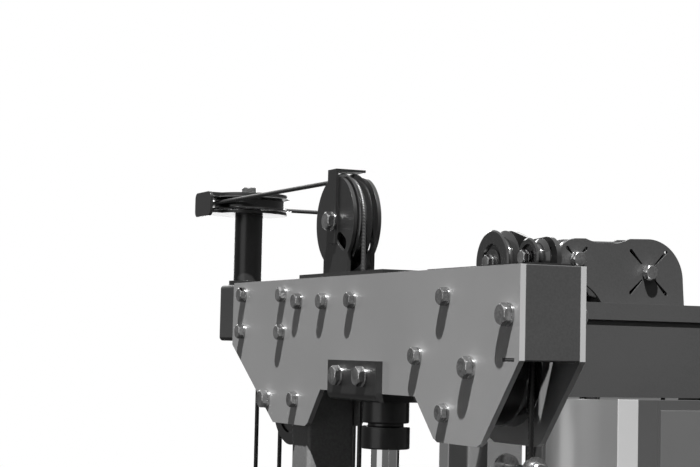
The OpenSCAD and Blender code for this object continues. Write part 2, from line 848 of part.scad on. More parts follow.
// The front sheet in plan: a shallow U with round corners
module front_plan(t) {
    depth = front_end - boom_reach - tower_y0;
    difference() {
        union() {
            translate([tower_x + tower_r, tower_y0]) square([tower_w - 2 * tower_r, depth]);
            translate([tower_x, tower_y0 + tower_r]) square([tower_w, depth - tower_r]);
            for (x = [tower_x + tower_r, tower_x + tower_w - tower_r])
                translate([x, tower_y0 + tower_r]) circle(tower_r);
        }
        translate([tower_x - 1, tower_y0 + depth]) square([tower_w + 2, 200]);
        translate([tower_x + tower_r, tower_y0 + t]) square([tower_w - 2 * tower_r, 200]);
        translate([tower_x + t, tower_y0 + tower_r]) square([tower_w - 2 * t, 200]);
        for (x = [tower_x + tower_r, tower_x + tower_w - tower_r])
            translate([x, tower_y0 + tower_r]) circle(tower_r - t);
    }
}

seam_a = 65;
seam_b = 93;
seam_c = 120;

module tower_front_shroud() {
    color([0.75, 0.76, 0.78]) difference() {
        translate([0, 0, tower_z]) linear_extrude(sheet_top - tower_z) front_plan(sheet_t);
        // Shallow steps at the seams of the strips
        for (x = [tower_x + seam_b, tower_x + tower_w - seam_b - (seam_c - seam_b)])
            block([x, tower_y0 - 1, tower_z - 1], [x + seam_c - seam_b, tower_y0 + 1, sheet_top + 1]);
        for (x = [tower_x + seam_a, tower_x + tower_w - seam_a - 1])
            block([x, tower_y0 - 1, tower_z - 1], [x + 1, tower_y0 + 0.8, sheet_top + 1]);
        // The window in front of the pin holes
        block([tower_mid - 55, tower_y0 - 1, 240], [tower_mid + 55, tower_y0 + sheet_t + 1, 900]);
    }
}

module placard() {
    color([0.2, 0.2, 0.2])
        block([tower_x + seam_c + 3, tower_y0 - 1.5, sheet_top - 660],
            [tower_x + tower_w - seam_c - 3, tower_y0, sheet_top - 12]);
}

module tower_side_windows() {
    color([0.55, 0.6, 0.62])
        for (x = [tower_x + 1, tower_x + tower_w - 5])
            block([x, window_y[0] - boom_reach, tower_z], [x + 4, window_y[1] - boom_reach,
                sheet_top]);
    // Rails hold the two windows at the bottom and the top
    color([0.3, 0.3, 0.3])
        for (x = [tower_x + 1, tower_x + tower_w - 5], z = [tower_z - 1, sheet_top - 12])
            block([x + (x > tower_mid ? -4 : 4), post_grey[1] - boom_reach, z],
                [x + (x > tower_mid ? 0 : 8), post_black[0] - boom_reach, z + 12]);
}

module tower_rear_shroud() {
    y0 = post_black[1] - boom_reach;
    t = sheet_t;
    color([0.75, 0.76, 0.78]) {
        for (x = [tower_x, tower_x + tower_w - t])
            block([x, y0, tower_z], [x + t, tower_y1, sheet_top]);
        for (x = [tower_x + t, tower_x + tower_w - t - 30])
            block([x, tower_y1 - t, tower_z], [x + 30, tower_y1, sheet_top]);
        block([tower_x + t + 30, tower_y1 - t, sheet_top - 60],
            [tower_x + tower_w - t - 30, tower_y1, sheet_top]);
        block([tower_x + t + 30, tower_y1 - t, tower_z],
            [tower_x + tower_w - t - 30, tower_y1, tower_z + 60]);
    }
}

/* Weight stack */

stack_y = stack_plane - boom_reach;
stack_x = tower_mid;
weight_w = 270;
weight_d = 110;
rod_r = 12.5;
bumper_h = 24;
stack_z = rail_z + 34 + bumper_h;
pitch = weight_t;
rod_hole = rod_r + 1.2;
selector_r = 11;
lower = weights - lifted;
stack_split = stack_z + lower * pitch;

// One weight plate on z = 0, with rod holes, the selector's bore and the pin's groove
module weight(t, bore) {
    difference() {
        linear_extrude(t - 0.6) difference() {
            rounded(weight_w, weight_d, 12);
            for (s = [-1, 1]) translate([s * rod_gap / 2, 0]) circle(rod_hole);
            circle(bore);
        }
        block([-16, -weight_d / 2 - 1, t / 2 - 5.6], [16, -weight_d / 2 + 3, t / 2 + 5.6]);
        translate([0, -weight_d / 2 - 1, t / 2]) along_y() cylinder(weight_d / 2, r = 5);
    }
    // Low pads keep the plates a hair apart
    for (s = [-1, 1])
        translate([s * 70, 0, t - 0.6]) cylinder(0.6, r = 12);
}

module guide_rods() {
    color("silver") for (s = [-1, 1])
        translate([stack_x + s * rod_gap / 2, stack_y, rail_z + 34])
            cylinder(beam_under - rail_z - 34, r = rod_r);
}

module stack_lower() {
    color([0.09, 0.09, 0.09]) for (i = [0 : lower - 1])
        translate([stack_x, stack_y, stack_z + i * pitch]) weight(pitch, selector_r + 2);
    color([0.03, 0.03, 0.03]) for (s = [-1, 1])
        translate([stack_x + s * rod_gap / 2, stack_y, rail_z + 34]) difference() {
            cylinder(bumper_h, r = 26);
            translate([0, 0, -1]) cylinder(bumper_h + 2, r = rod_r + 0.4);
        }
}

module stack_upper() {
    top = weights - lower;
    rod_low = stack_z + 40;
    color([0.09, 0.09, 0.09]) for (i = [0 : top - 1])
        translate([stack_x, stack_y, stack_split + gap + i * pitch])
            weight(pitch, selector_r);
    color("silver") translate([stack_x, stack_y, 0]) {
        // The selector rod hangs down through the plates at rest on the stack
        difference() {
            translate([0, 0, rod_low])
                cylinder(stack_split + gap + top * pitch + 46 - rod_low, r = selector_r);
            translate([0, -60, stack_split + gap + pitch / 2]) along_y() cylinder(70, r = 4.6);
        }
        translate([0, 0, stack_split + gap + top * pitch]) cylinder(18, r = 22);
    }
}

stack_top = stack_split + gap + (weights - lower) * pitch + 46;

module selector_pin() {
    z = stack_split + gap + pitch / 2;
    y = stack_y - weight_d / 2;
    color("red") translate([stack_x, y, z]) {
        translate([0, -22, 0]) along_y() cylinder(72, r = 4.3);
        translate([0, -46, 0]) along_y() rotate_extrude()
            polygon([[0, 0], [11, 0], [15, 4], [15, 12], [9, 20], [9, 25], [0, 25]]);
    }
}

/* Seat, pads and their frames */

seat_y = [-640, -640 + seat_l];
seat_mid = (seat_y[0] + seat_y[1]) / 2;
seat_tube = 50;
sleeve_t = 4;
seat_base = seat_h - pad_t - 10;
pad_back = -column_y - 50;
back_z = [560, 560 + back_h];
leg_pivot = [-base_front + 60, seat_base - 90];

// The sleeve of the seat post, the column's lower bearing, the back pad's straps
module pad_frames() {
    color([0.12, 0.12, 0.12]) {
        difference() {
            translate([0, seat_mid, rail_z]) linear_extrude(seat_base - rail_z - 90)
                difference() {
                    rounded(seat_tube + 2 * sleeve_t, seat_tube + 2 * sleeve_t, 6);
                    rounded(seat_tube + 2 * gap, seat_tube + 2 * gap, 4);
                }
            translate([-60, seat_mid, seat_base - 130]) along_x() cylinder(60, r = 6.4);
        }
        // Post and fork that carry the leg developer
        block([-20, leg_pivot[0] + 24, rail_z], [20, leg_pivot[0] + 54, leg_pivot[1] + 16]);
        for (x = [-20, 14])
            difference() {
                block([x, leg_pivot[0] - 16, leg_pivot[1] - 16],
                    [x + 6, leg_pivot[0] + 24, leg_pivot[1] + 16]);
                translate([x - 1, leg_pivot[0], leg_pivot[1]]) along_x()
                    cylinder(8, r = m12 + hole_fit);
            }
        // Lower bearing of the swivel column
        difference() {
            union() {
                block([-24, -column_y, column_foot_z], [24, -upright_d / 2, column_foot_z + 8]);
                translate([0, -column_y, column_foot_z]) cylinder(column_foot_h, r = 26);
            }
            translate([0, -column_y, column_foot_z + 8])
                cylinder(column_foot_h, r = column_r + gap);
            translate([upper_x, vert[0] - groove_r - boom_reach, column_foot_z - 1])
                cylinder(20, r = cable_r + 4);
        }
        for (z = [back_z[0] + 90, back_z[1] - 130])
            block([-18, pad_back + 10, z], [18, -upright_d / 2, z + 40]);
        block([-25, pad_back, back_z[0] + 40], [25, pad_back + 10, back_z[1] - 60]);
    }
    // Stop and eye for the upper cable, on the front of the upright
    color("silver") translate([upper_x, vert[0] - groove_r - boom_reach, 1290]) {
        difference() {
            block([-14, -14, 0], [14, boom_reach - vert[0] + groove_r - upright_d / 2, 6]);
            translate([0, 0, -1]) cylinder(8, r = cable_r + 0.5);
        }
    }
    color("silver") bolt_x(-20, 20, leg_pivot[0], leg_pivot[1], m12);
}

module seat_post() {
    low = 180;
    color([0.75, 0.76, 0.78]) difference() {
        translate([0, seat_mid, low]) tube(seat_tube, seat_tube, seat_base - low, 5);
        for (z = [seat_base - 130 : -25 : seat_base - 230])
            translate([-60, seat_mid, z]) along_x() cylinder(60, r = 6.4);
    }
    color([0.12, 0.12, 0.12])
        block([-90, seat_y[0] + 60, seat_base], [90, seat_y[1] - 60, seat_base + 9.7]);
}

// A pad on z = 0 with a crown, sides that draw in towards the base and round corners
module cushion(w, l, t, r) {
    layers = [[0, 0.955], [0.12, 0.985], [0.42, 1], [0.7, 0.985], [0.86, 0.94], [0.95, 0.86],
        [1, 0.7]];
    for (i = [0 : len(layers) - 2])
        hull() for (k = [i, i + 1])
            translate([0, 0, layers[k][0] * t - (k == i ? 0 : 0.01)]) linear_extrude(0.01)
                rounded(w - (1 - layers[k][1]) * l, l - (1 - layers[k][1]) * l, r, $fn = 32);
}

module seat_pad() {
    color([0.05, 0.05, 0.05]) translate([0, seat_mid, seat_base + 10])
        cushion(seat_w, seat_l, pad_t, 50);
}

module back_pad() {
    color([0.05, 0.05, 0.05])
        translate([0, pad_back - gap, (back_z[0] + back_z[1]) / 2]) rotate([90, 0, 0])
            cushion(back_w, back_h, pad_t, 50);
}

/* Fly arms, leg developer */

hub_h = 50;
hub_z = column_foot_z + column_foot_h + 0.5;
hub_r = 40;
drop_low = 900;
foam_l = 300;

// One fly arm: a hub on the column, a level tube, and a drop tube with a handle
module fly_arm(side, z) {
    angle = -90 + side * arm_rest;
    mid = z + hub_h / 2;
    color([0.12, 0.12, 0.12]) translate([0, -column_y, 0]) difference() {
        union() {
            translate([0, 0, z]) cylinder(hub_h, r = hub_r);
            rotate([0, 0, angle]) {
                translate([0, 0, mid]) along_x() cylinder(arm_l, r = arm_r);
                translate([arm_l, 0, drop_low]) cylinder(mid - drop_low, r = arm_r);
                translate([arm_l, 0, mid]) sphere(arm_r);
                translate([arm_l, 0, drop_low + 15]) along_x() cylinder(120, r = 14);
            }
        }
        translate([0, 0, z - 1]) cylinder(hub_h + 2, r = column_r + fit);
    }
}

module fly_pad(side) {
    angle = -90 + side * arm_rest;
    color([0.05, 0.05, 0.05]) translate([0, -column_y, 0]) rotate([0, 0, angle])
        translate([arm_l, 0, drop_low + 50]) rotate_extrude() difference() {
            polygon([[arm_r, 0], [arm_r + 12, 0], [arm_r + 18, 6], [arm_r + 18, foam_l - 6],
                [arm_r + 12, foam_l], [arm_r, foam_l]]);
        }
}

module fly_arm_left() {
    fly_arm(-1, hub_z);
}

module fly_arm_right() {
    fly_arm(1, hub_z + hub_h + 0.5);
}

module fly_pad_left() {
    fly_pad(-1);
}

module fly_pad_right() {
    fly_pad(1);
}

leg_l = 220;
leg_bar = 220;

module leg_developer() {
    color([0.12, 0.12, 0.12]) translate([0, leg_pivot[0], leg_pivot[1]]) difference() {
        union() {
            along_x() translate([0, 0, -13.5]) cylinder(27, r = 22);
            block([-13.5, -15, -leg_l], [13.5, 15, 0]);
            translate([-leg_bar, 0, -leg_l + 20]) along_x() cylinder(2 * leg_bar, r = 12);
        }
        translate([-20, 0, 0]) along_x() cylinder(40, r = m12 + fit);
    }
}

module leg_rollers() {
    color([0.05, 0.05, 0.05]) for (s = [-1, 1])
        translate([s * (leg_bar / 2 + 10), leg_pivot[0], leg_pivot[1] - leg_l + 20]) along_x()
            translate([0, 0, -85]) rotate_extrude() polygon([[12, 0], [foam_r - 5, 0],
                [foam_r, 5], [foam_r, 165], [foam_r - 5, 170], [12, 170]]);
}

/* Lat bar on its yoke */

lat_y = lat_axle[0] - groove_r - boom_reach;
yoke_z = boom_top - 194;
yoke_drop = 60;
yoke_r = 14;
bar_z = boom_top - 330;

module lat_yoke() {
    color("silver") {
        for (y = [-22, 31])
            translate([lat_x - 9, lat_y + y, yoke_z]) rotate([90, 0, 0])
                linear_extrude(3) difference() {
                    union() {
                        circle(yoke_r);
                        translate([-yoke_r, -yoke_drop]) square([2 * yoke_r, yoke_drop]);
                        translate([0, -yoke_drop]) circle(yoke_r);
                    }
                    circle(m10 + hole_fit);
                    translate([0, -yoke_drop]) circle(m10 + hole_fit);
                }
        for (z = [0, -yoke_drop])
            bolt_y(lat_y - 25, lat_y + 31, lat_x - 9, yoke_z + z, m10);
    }
    color([0.08, 0.08, 0.08])
        translate([lat_x - 9, lat_y - 22, yoke_z - yoke_drop]) along_y() difference() {
            cylinder(50, r = 12);
            translate([0, 0, -1]) cylinder(53, r = m10 + hole_fit);
        }
    // The cable's end fitting and the clip down to the bar
    color("silver") {
        translate([lat_x, lat_y, yoke_z - yoke_drop + 11])
            cylinder(yoke_drop - 18, r = cable_r + 2.5);
        translate([lat_x - 9, lat_y, bar_z + bar_r])
            cylinder(yoke_z - yoke_drop - 11.5 - bar_z - bar_r, r = 5);
    }
}

module lat_bar() {
    grip = 120;
    half = bar_len / 2 - grip;
    color("silver") translate([lat_x - 9, lat_y, bar_z]) {
        translate([-half, 0, 0]) along_x() cylinder(2 * half, r = bar_r);
        for (s = [-1, 1]) mirror([s < 0 ? 1 : 0, 0, 0]) translate([half, 0, 0]) {
            sphere(bar_r);
            rotate([0, 120, 0]) cylinder(grip, r = bar_r);
        }
    }
}

/* Cables: coated steel, on the middle line of every groove */

// A straight run between two points
module run(a, b) {
    v = b - a;
    translate(a) rotate([0, acos(v[2] / norm(v)), atan2(v[1], v[0])])
        cylinder(norm(v), r = cable_r);
}

// Part of a turn around a pulley, in the local XY plane
module wrap(r, a0, a1) {
    rotate(a0) rotate_extrude(angle = a1 - a0) translate([r, 0]) circle(cable_r, $fn = 24);
}

// The same in the boom's YZ plane and in its XZ plane
module wrap_side(x, c, r, a0, a1) {
    translate([x, c[0], c[1]]) rotate([90, 0, 90]) wrap(r, a0, a1);
}

module wrap_front(y, c, r, a0, a1) {
    translate([c[0], y, c[1]]) rotate([90, 0, 0]) wrap(r, a0, a1);
}

// A small round end where two runs meet at a slight angle
module joint(p) {
    translate(p) sphere(cable_r + 0.15);
}

function polar(r, a) = r * [cos(a), sin(a)];

module lat_cable() {
    a = 90 + atan2(rear_axle[1] - lat_axle[1], rear_axle[0] - lat_axle[0]);
    p = lat_axle + polar(groove_r, a);
    q = rear_axle + polar(groove_r, a);
    stub = rear_axle[0] + groove_r + 2 * block_r;
    wrap_side(lat_x, lat_axle, groove_r, a, 180);
    run([lat_x, p[0], p[1]], [lat_x, q[0], q[1]]);
    wrap_side(lat_x, rear_axle, groove_r, 0, a);
    for (j = [p, q])
        joint([lat_x, j[0], j[1]]);
    run([lat_x, stub, rear_axle[1]], [lat_x, stub, -1 - tube_h]);
    translate([lat_x, stub, -31 - tube_h]) cylinder(30, r = 8);
}

module stack_cable() {
    d = guide_pin - stack_pin;
    a = atan2(d[1], d[0]) - acos((stack_r - guide_r) / norm(d));
    p = stack_pin + polar(stack_r, a);
    q = guide_pin + polar(guide_r, a);
    wrap_front(stack_plane, stack_pin, stack_r, 0, a);
    run([p[0], stack_plane, p[1]], [q[0], stack_plane, q[1]]);
    wrap_front(stack_plane, guide_pin, guide_r, a, 180);
    for (j = [p, q, guide_pin - [guide_r, 0]])
        joint([j[0], stack_plane, j[1]]);
    run([guide_pin[0] - guide_r, stack_plane, base_z - boom_top],
        [guide_pin[0] - guide_r, stack_plane, guide_pin[1]]);
}

module base_cable() {
    at_base() {
        wrap_front(0, [base_r, 0], base_r, 180, 270);
        run([base_r, 0, -base_r], [base_run - base_r, 0, -base_r]);
        wrap_front(0, [base_run - base_r, 0], base_r, 270, 360);
    }
    run([lat_x, block_y1, rail_z], [lat_x, block_y1, base_z]);
    translate([lat_x, block_y1, rail_z]) cylinder(30, r = 8);
}

module upper_cable() {
    drop_y = vert[0] - groove_r;
    slope = atan2(horiz_z - vert[1] - groove_r, post_y - vert[0]);
    p = vert + polar(groove_r, 90 + slope);
    to_post = [-upper_x, post_y - p[0]];
    side = atan2(to_post[1], to_post[0]) + asin(groove_r / norm(to_post)) + 90;
    q = [0, post_y] + polar(groove_r, side);
    foot = 1290 - boom_top;
    run([upper_x, drop_y, foot - 14], [upper_x, drop_y, vert[1]]);
    translate([upper_x, drop_y, foot - 9.3]) sphere(9);
    wrap_side(upper_x, vert, groove_r, 90 + slope, 180);
    joint([upper_x, p[0], p[1]]);
    run([upper_x, p[0], p[1]], [q[0], q[1], horiz_z]);
    joint([q[0], q[1], horiz_z]);
    translate([0, post_y, horiz_z]) wrap(groove_r, 90, side);
    run([0, turn_y, horiz_z], [turn[0], turn_y, horiz_z]);
    wrap_front(turn_y, turn, turn_r, 0, 90);
    run([turn[0] + turn_r, turn_y, rail_z + 30 - boom_top], [turn[0] + turn_r, turn_y, turn[1]]);
    translate([turn[0] + turn_r, turn_y, rail_z - boom_top]) cylinder(60, r = 8);
}

module cables_fixed() {
    color([0.08, 0.08, 0.08]) {
        at_boom() {
            lat_cable();
            stack_cable();
            upper_cable();
        }
        base_cable();
    }
}

module lat_cable_drop() {
    color([0.08, 0.08, 0.08])
        run([lat_x, lat_y, yoke_z - 7], [lat_x, lat_y, boom_top + lat_axle[1]]);
}

module stack_cable_drop() {
    color([0.08, 0.08, 0.08])
        run([stack_x, stack_y, stack_top], [stack_x, stack_y, boom_top + stack_pin[1]]);
}

module block_cables_upper() {
    color([0.08, 0.08, 0.08]) for (y = [block_y0, block_y1])
        run([lat_x, y, block_z], [lat_x, y, boom_top + rear_axle[1]]);
}

module block_cables_lower() {
    color([0.08, 0.08, 0.08]) for (y = [block_y0, block_y1])
        run([lat_x, y, base_z], [lat_x, y, block_z - block_pitch]);
}

module block_cable_turns() {
    color([0.08, 0.08, 0.08]) {
        wrap_side(lat_x, [block_y, block_z], block_r, 180, 360);
        wrap_side(lat_x, [block_y, block_z - block_pitch], block_r, 0, 180);
    }
}

boom_plate_left();
boom_plate_right();
boom_tube();
end_cover();
boom_bolts();
pivot_bracket();
column_collar();
swivel_column();
horizontal_yoke();
horizontal_pulley();
vertical_yoke();
vertical_pulley();
small_bracket();
small_pulley_front();
small_pulley_rear();
cross_beam();
tower_bracket();
pulley_bolts();
tower_pulley_large();
tower_pulley_small();
lat_pulley();
rear_pulley();
pulley_brackets();
turning_pulley();
floating_block();
block_pulley_upper();
block_pulley_lower();
base_pulley_tower();
base_pulley_rear();
main_upright();
base_beam();
base_rails();
rubber_feet();
tower_posts();
tower_front_shroud();
tower_side_windows();
tower_rear_shroud();
placard();
guide_rods();
stack_lower();
stack_upper();
selector_pin();
pad_frames();
seat_post();
seat_pad();
back_pad();
fly_arm_left();
fly_arm_right();
fly_pad_left();
fly_pad_right();
leg_developer();
leg_rollers();
lat_yoke();
lat_bar();
cables_fixed();
lat_cable_drop();
stack_cable_drop();
block_cables_upper();
block_cables_lower();
block_cable_turns();
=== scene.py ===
# %% [markdown]
# A home gym station: an open pulley boom over a seat, with a tower of weights beside it.
# The real machine is cut plate, square tube, sheet, turned pulleys and a few pads. The CAD
# frame already holds every rigid piece at its true size, so this lesson spends its effort
# on edges, finishes, soft pads and light. Everything is in metres, in the frame's own axes.

# %% Load the frame
import json
import math

import bpy
from mathutils import Matrix, Vector

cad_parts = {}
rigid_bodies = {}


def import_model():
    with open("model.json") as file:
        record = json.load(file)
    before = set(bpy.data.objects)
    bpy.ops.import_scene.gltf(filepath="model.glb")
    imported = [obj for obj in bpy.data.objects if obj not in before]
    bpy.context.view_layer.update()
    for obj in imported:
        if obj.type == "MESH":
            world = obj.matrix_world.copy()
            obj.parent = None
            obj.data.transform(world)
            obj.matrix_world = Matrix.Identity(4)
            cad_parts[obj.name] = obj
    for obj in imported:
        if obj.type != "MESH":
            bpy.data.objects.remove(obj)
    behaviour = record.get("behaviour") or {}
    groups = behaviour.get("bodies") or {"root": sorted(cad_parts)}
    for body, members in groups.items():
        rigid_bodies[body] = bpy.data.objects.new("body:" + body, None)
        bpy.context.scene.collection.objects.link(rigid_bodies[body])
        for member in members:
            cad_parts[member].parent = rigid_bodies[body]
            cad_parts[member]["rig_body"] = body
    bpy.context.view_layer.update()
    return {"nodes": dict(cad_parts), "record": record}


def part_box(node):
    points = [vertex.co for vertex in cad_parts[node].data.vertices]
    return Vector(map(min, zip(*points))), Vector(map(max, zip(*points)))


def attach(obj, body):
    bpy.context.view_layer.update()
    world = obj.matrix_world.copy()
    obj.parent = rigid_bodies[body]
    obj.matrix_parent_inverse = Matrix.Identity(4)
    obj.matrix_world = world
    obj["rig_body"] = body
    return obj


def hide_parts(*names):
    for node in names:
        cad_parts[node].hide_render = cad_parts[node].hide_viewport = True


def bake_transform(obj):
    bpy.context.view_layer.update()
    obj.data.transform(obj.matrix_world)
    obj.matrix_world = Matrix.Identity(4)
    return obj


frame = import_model()
nodes = frame["nodes"]

# %% [markdown]
# The camera comes first. The photograph was taken from the front left, a little below the
# boom's top edge and looking slightly up, with a long lens. The place and the turn were
# worked out from the known sizes of the boom's plates.

# %% Camera
EYE = Vector((-0.8603, -1.9294, 1.9171))
YAW, PITCH, ROLL = (math.radians(a) for a in (24.77, 3.779, 1.273))
LENS, SENSOR = 90.16, 36  # millimetres


def aimed(yaw, pitch, roll):
    """The camera's turn, from its yaw off +Y, its pitch and its roll."""
    level = math.cos(pitch)
    ahead = Vector((math.sin(yaw) * level, math.cos(yaw) * level, math.sin(pitch)))
    right = Vector((math.cos(yaw), -math.sin(yaw), 0))
    up = right.cross(ahead)
    side = math.cos(roll) * right + math.sin(roll) * up
    top = math.cos(roll) * up - math.sin(roll) * right
    return Matrix((side, top, -ahead)).transposed().to_4x4()


camera = bpy.data.objects.new("camera", bpy.data.cameras.new("camera"))
camera.data.lens = LENS
camera.data.sensor_width = SENSOR
camera.data.sensor_fit = "HORIZONTAL"
camera.matrix_world = Matrix.Translation(EYE) @ aimed(YAW, PITCH, ROLL)
bpy.context.scene.collection.objects.link(camera)
bpy.context.scene.camera = camera
print("camera:", LENS, "mm lens at", [round(v, 2) for v in EYE])

# %% [markdown]
# Powder coat, cast iron and rubber all share one small effect: a grain that shifts the
# colour a little and roughens the surface. It is built once, as a group with named sockets,
# and every material gives it its own scale.

# %% The shared grain group


def new_group(name, inputs, outputs):
    """An empty shader group with float sockets, and its input and output nodes."""
    group = bpy.data.node_groups.new(name, "ShaderNodeTree")
    for title, value in inputs:
        socket = group.interface.new_socket(title, in_out="INPUT", socket_type="NodeSocketFloat")
        socket.default_value = value
    for title in outputs:
        group.interface.new_socket(title, in_out="OUTPUT", socket_type="NodeSocketFloat")
    return group, group.nodes.new("NodeGroupInput"), group.nodes.new("NodeGroupOutput")


def make_grain():
    """Fine grain and broad patches on Object coordinates, as values about 0.5."""
    given_sizes = [("Scale", 900.0), ("Patch", 6.0)]
    group, given, out = new_group("coat_grain", given_sizes, ["Fine", "Broad"])
    where = group.nodes.new("ShaderNodeTexCoord")
    fine = group.nodes.new("ShaderNodeTexNoise")
    broad = group.nodes.new("ShaderNodeTexNoise")
    fine.inputs["Detail"].default_value = 3.0
    broad.inputs["Detail"].default_value = 5.0
    group.links.new(where.outputs["Object"], fine.inputs["Vector"])
    group.links.new(where.outputs["Object"], broad.inputs["Vector"])
    group.links.new(given.outputs["Scale"], fine.inputs["Scale"])
    group.links.new(given.outputs["Patch"], broad.inputs["Scale"])
    group.links.new(fine.outputs["Fac"], out.inputs["Fine"])
    group.links.new(broad.outputs["Fac"], out.inputs["Broad"])
    return group


GRAIN = make_grain()
print("shared group:", GRAIN.name, "with", len(GRAIN.nodes), "nodes")

# %% [markdown]
# Each finish starts from the same recipe: a base colour that drifts a little in broad
# patches, a roughness that follows them, and a bump from the fine grain. Only the numbers
# differ between a glossy coat, a satin coat, zinc plate and foam. The tower's windows are
# thin tinted sheets, so they are made partly see-through instead of bending the light.

# %% Finishes


def finish(name, colour, rough, metal=0.0, grain=900.0, patch=6.0, drift=0.12, peel=0.00002,
           coat=0.0, coat_rough=0.1, spread=0.08, solid=1.0, level=0.5, speck=0.0):
    """A Principled material whose colour, roughness and bump come from the grain group.

    drift is how far the colour strays, speck how much of that is fine dots instead of broad
    patches, spread how far the roughness strays, peel the bump's height in metres, level the
    plain gloss, and solid is 1 unless the sheet lets the background through.
    """
    material = bpy.data.materials.new(name)
    material.use_nodes = True
    tree = material.node_tree
    shader = tree.nodes["Principled BSDF"]
    shader.inputs["Metallic"].default_value = metal
    shader.inputs["Coat Weight"].default_value = coat
    shader.inputs["Coat Roughness"].default_value = coat_rough
    shader.inputs["Alpha"].default_value = solid
    shader.inputs["Specular IOR Level"].default_value = level
    surface = tree.nodes.new("ShaderNodeGroup")
    surface.node_tree = GRAIN
    surface.inputs["Scale"].default_value = grain
    surface.inputs["Patch"].default_value = patch
    ramp = tree.nodes.new("ShaderNodeValToRGB")
    ramp.color_ramp.elements[0].position = 0.3 + speck / 2
    ramp.color_ramp.elements[1].position = 0.7 + speck / 2
    ramp.color_ramp.elements[0].color = [c * (1 - drift) for c in colour] + [1]
    ramp.color_ramp.elements[1].color = [min(1, c * (1 + drift)) for c in colour] + [1]
    dots = tree.nodes.new("ShaderNodeMath")
    dots.operation = "MULTIPLY_ADD"
    dots.inputs[1].default_value = speck
    tree.links.new(surface.outputs["Fine"], dots.inputs[0])
    tree.links.new(surface.outputs["Broad"], dots.inputs[2])
    tree.links.new(dots.outputs["Value"], ramp.inputs["Fac"])
    tree.links.new(ramp.outputs["Color"], shader.inputs["Base Color"])
    gloss = tree.nodes.new("ShaderNodeMapRange")
    gloss.inputs["To Min"].default_value = max(0.0, rough - spread)
    gloss.inputs["To Max"].default_value = min(1.0, rough + spread)
    tree.links.new(surface.outputs["Broad"], gloss.inputs["Value"])
    tree.links.new(gloss.outputs["Result"], shader.inputs["Roughness"])
    bump = tree.nodes.new("ShaderNodeBump")
    bump.inputs["Distance"].default_value = peel
    bump.inputs["Strength"].default_value = 1.0
    tree.links.new(surface.outputs["Fine"], bump.inputs["Height"])
    tree.links.new(bump.outputs["Normal"], shader.inputs["Normal"])
    return material


def grey(value):
    return [value, value, value]


FINISHES = {
    "plate_grey": finish("plate_grey", grey(0.17), 0.32, grain=700, peel=0.00002, coat=1.0,
                         coat_rough=0.05, drift=0.05, spread=0.05),
    "black_coat": finish("black_coat", grey(0.023), 0.45, grain=420, patch=3, peel=0.00006,
                         drift=0.2, speck=0.6, level=0.4),
    "black_gloss": finish("black_gloss", grey(0.009), 0.3, grain=420, patch=3, peel=0.00006,
                          drift=0.2, speck=0.6, coat=0.2, coat_rough=0.2),
    # Painted light: a lighter black than the coat, lifting the upright out of the boom's shadow
    "upright_black_painted_lit": finish("upright_black_painted_lit", grey(0.095), 0.5, grain=420, patch=3, peel=0.00008,
                            drift=0.25, speck=0.6, level=0.4),
    "zinc": finish("zinc", grey(0.55), 0.16, metal=1.0, grain=420, patch=60, drift=0.4,
                   peel=0.00005, spread=0.1, speck=0.5),
    "chrome": finish("chrome", grey(0.82), 0.06, metal=1.0, grain=300, drift=0.02, peel=0.000002,
                     spread=0.02),
    "pulley_black": finish("pulley_black", grey(0.012), 0.16, grain=600, peel=0.00001, coat=0.5,
                           coat_rough=0.06, drift=0.1, spread=0.05),
    "rubber_black": finish("rubber_black", grey(0.02), 0.7, grain=900, peel=0.0001, drift=0.15),
    "silver_sheet": finish("silver_sheet", grey(0.33), 0.3, metal=0.8, grain=1800,
                           peel=0.00002, drift=0.03, coat=0.15),
    "window_clear": finish("window_clear", grey(0.2), 0.06, grain=50, peel=0.000001,
                           drift=0.01, spread=0.02, solid=0.62),
    "placard_dark": finish("placard_dark", grey(0.058), 0.38, grain=1500, drift=0.06),
    "weights_black": finish("weights_black", grey(0.02), 0.5, grain=500, peel=0.0002, drift=0.15),
    "pin_red": finish("pin_red", [0.42, 0.02, 0.02], 0.3, grain=800, coat=0.3),
    "pad_leather": finish("pad_leather", grey(0.016), 0.42, grain=260, patch=12, peel=0.0004,
                          drift=0.15, spread=0.1),
    "cable_black": finish("cable_black", grey(0.02), 0.35, grain=1200, peel=0.00003, drift=0.1),
}
SLOT_OF = {part["node"]: part["material_slot"] for part in frame["record"]["subparts"]}
# Some black parts are glossier or duller than the rest of their slot. The upright's black is
# painted lighter: painted light for the shade that the boom casts on it
GLOSSY = ("horizontal_yoke", "vertical_yoke", "small_bracket", "pivot_bracket", "column_collar")
LOOK_OF = {**SLOT_OF, **dict.fromkeys(GLOSSY, "black_gloss"), "main_upright": "upright_black_painted_lit"}


def dress(obj, slot):
    """Gives a piece or a CAD node one finish."""
    obj.data.materials.clear()
    obj.data.materials.append(FINISHES[slot])
    return obj


for name, node in nodes.items():
    dress(node, LOOK_OF[name])
print("finishes:", len(FINISHES))

# %% [markdown]
# A cut plate or a folded sheet never has a perfectly sharp edge: the coat rounds it, and
# that thin round is what catches the light. Each hard piece is copied from its CAD node,
# its triangles are joined into clean faces, and its edges are bevelled by a few tenths of
# a millimetre. The copy then stands for the node.

# %% Soft edges


def select_only(obj):
    bpy.ops.object.select_all(action="DESELECT")
    obj.select_set(True)
    bpy.context.view_layer.objects.active = obj


def copy_of(name, title):
    """A copy of a CAD node with its own mesh, outside the body's tree."""
    piece = nodes[name].copy()
    piece.data = nodes[name].data.copy()
    for key in list(piece.keys()):
        if key.startswith("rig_"):
            del piece[key]
    piece.parent = None
    piece.matrix_world = Matrix.Identity(4)
    piece.name = title
    bpy.context.scene.collection.objects.link(piece)
    return piece


def place(piece, name):
    """Rides on the node's body, in place of the node."""
    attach(piece, nodes[name]["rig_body"])
    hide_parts(name)
    return piece


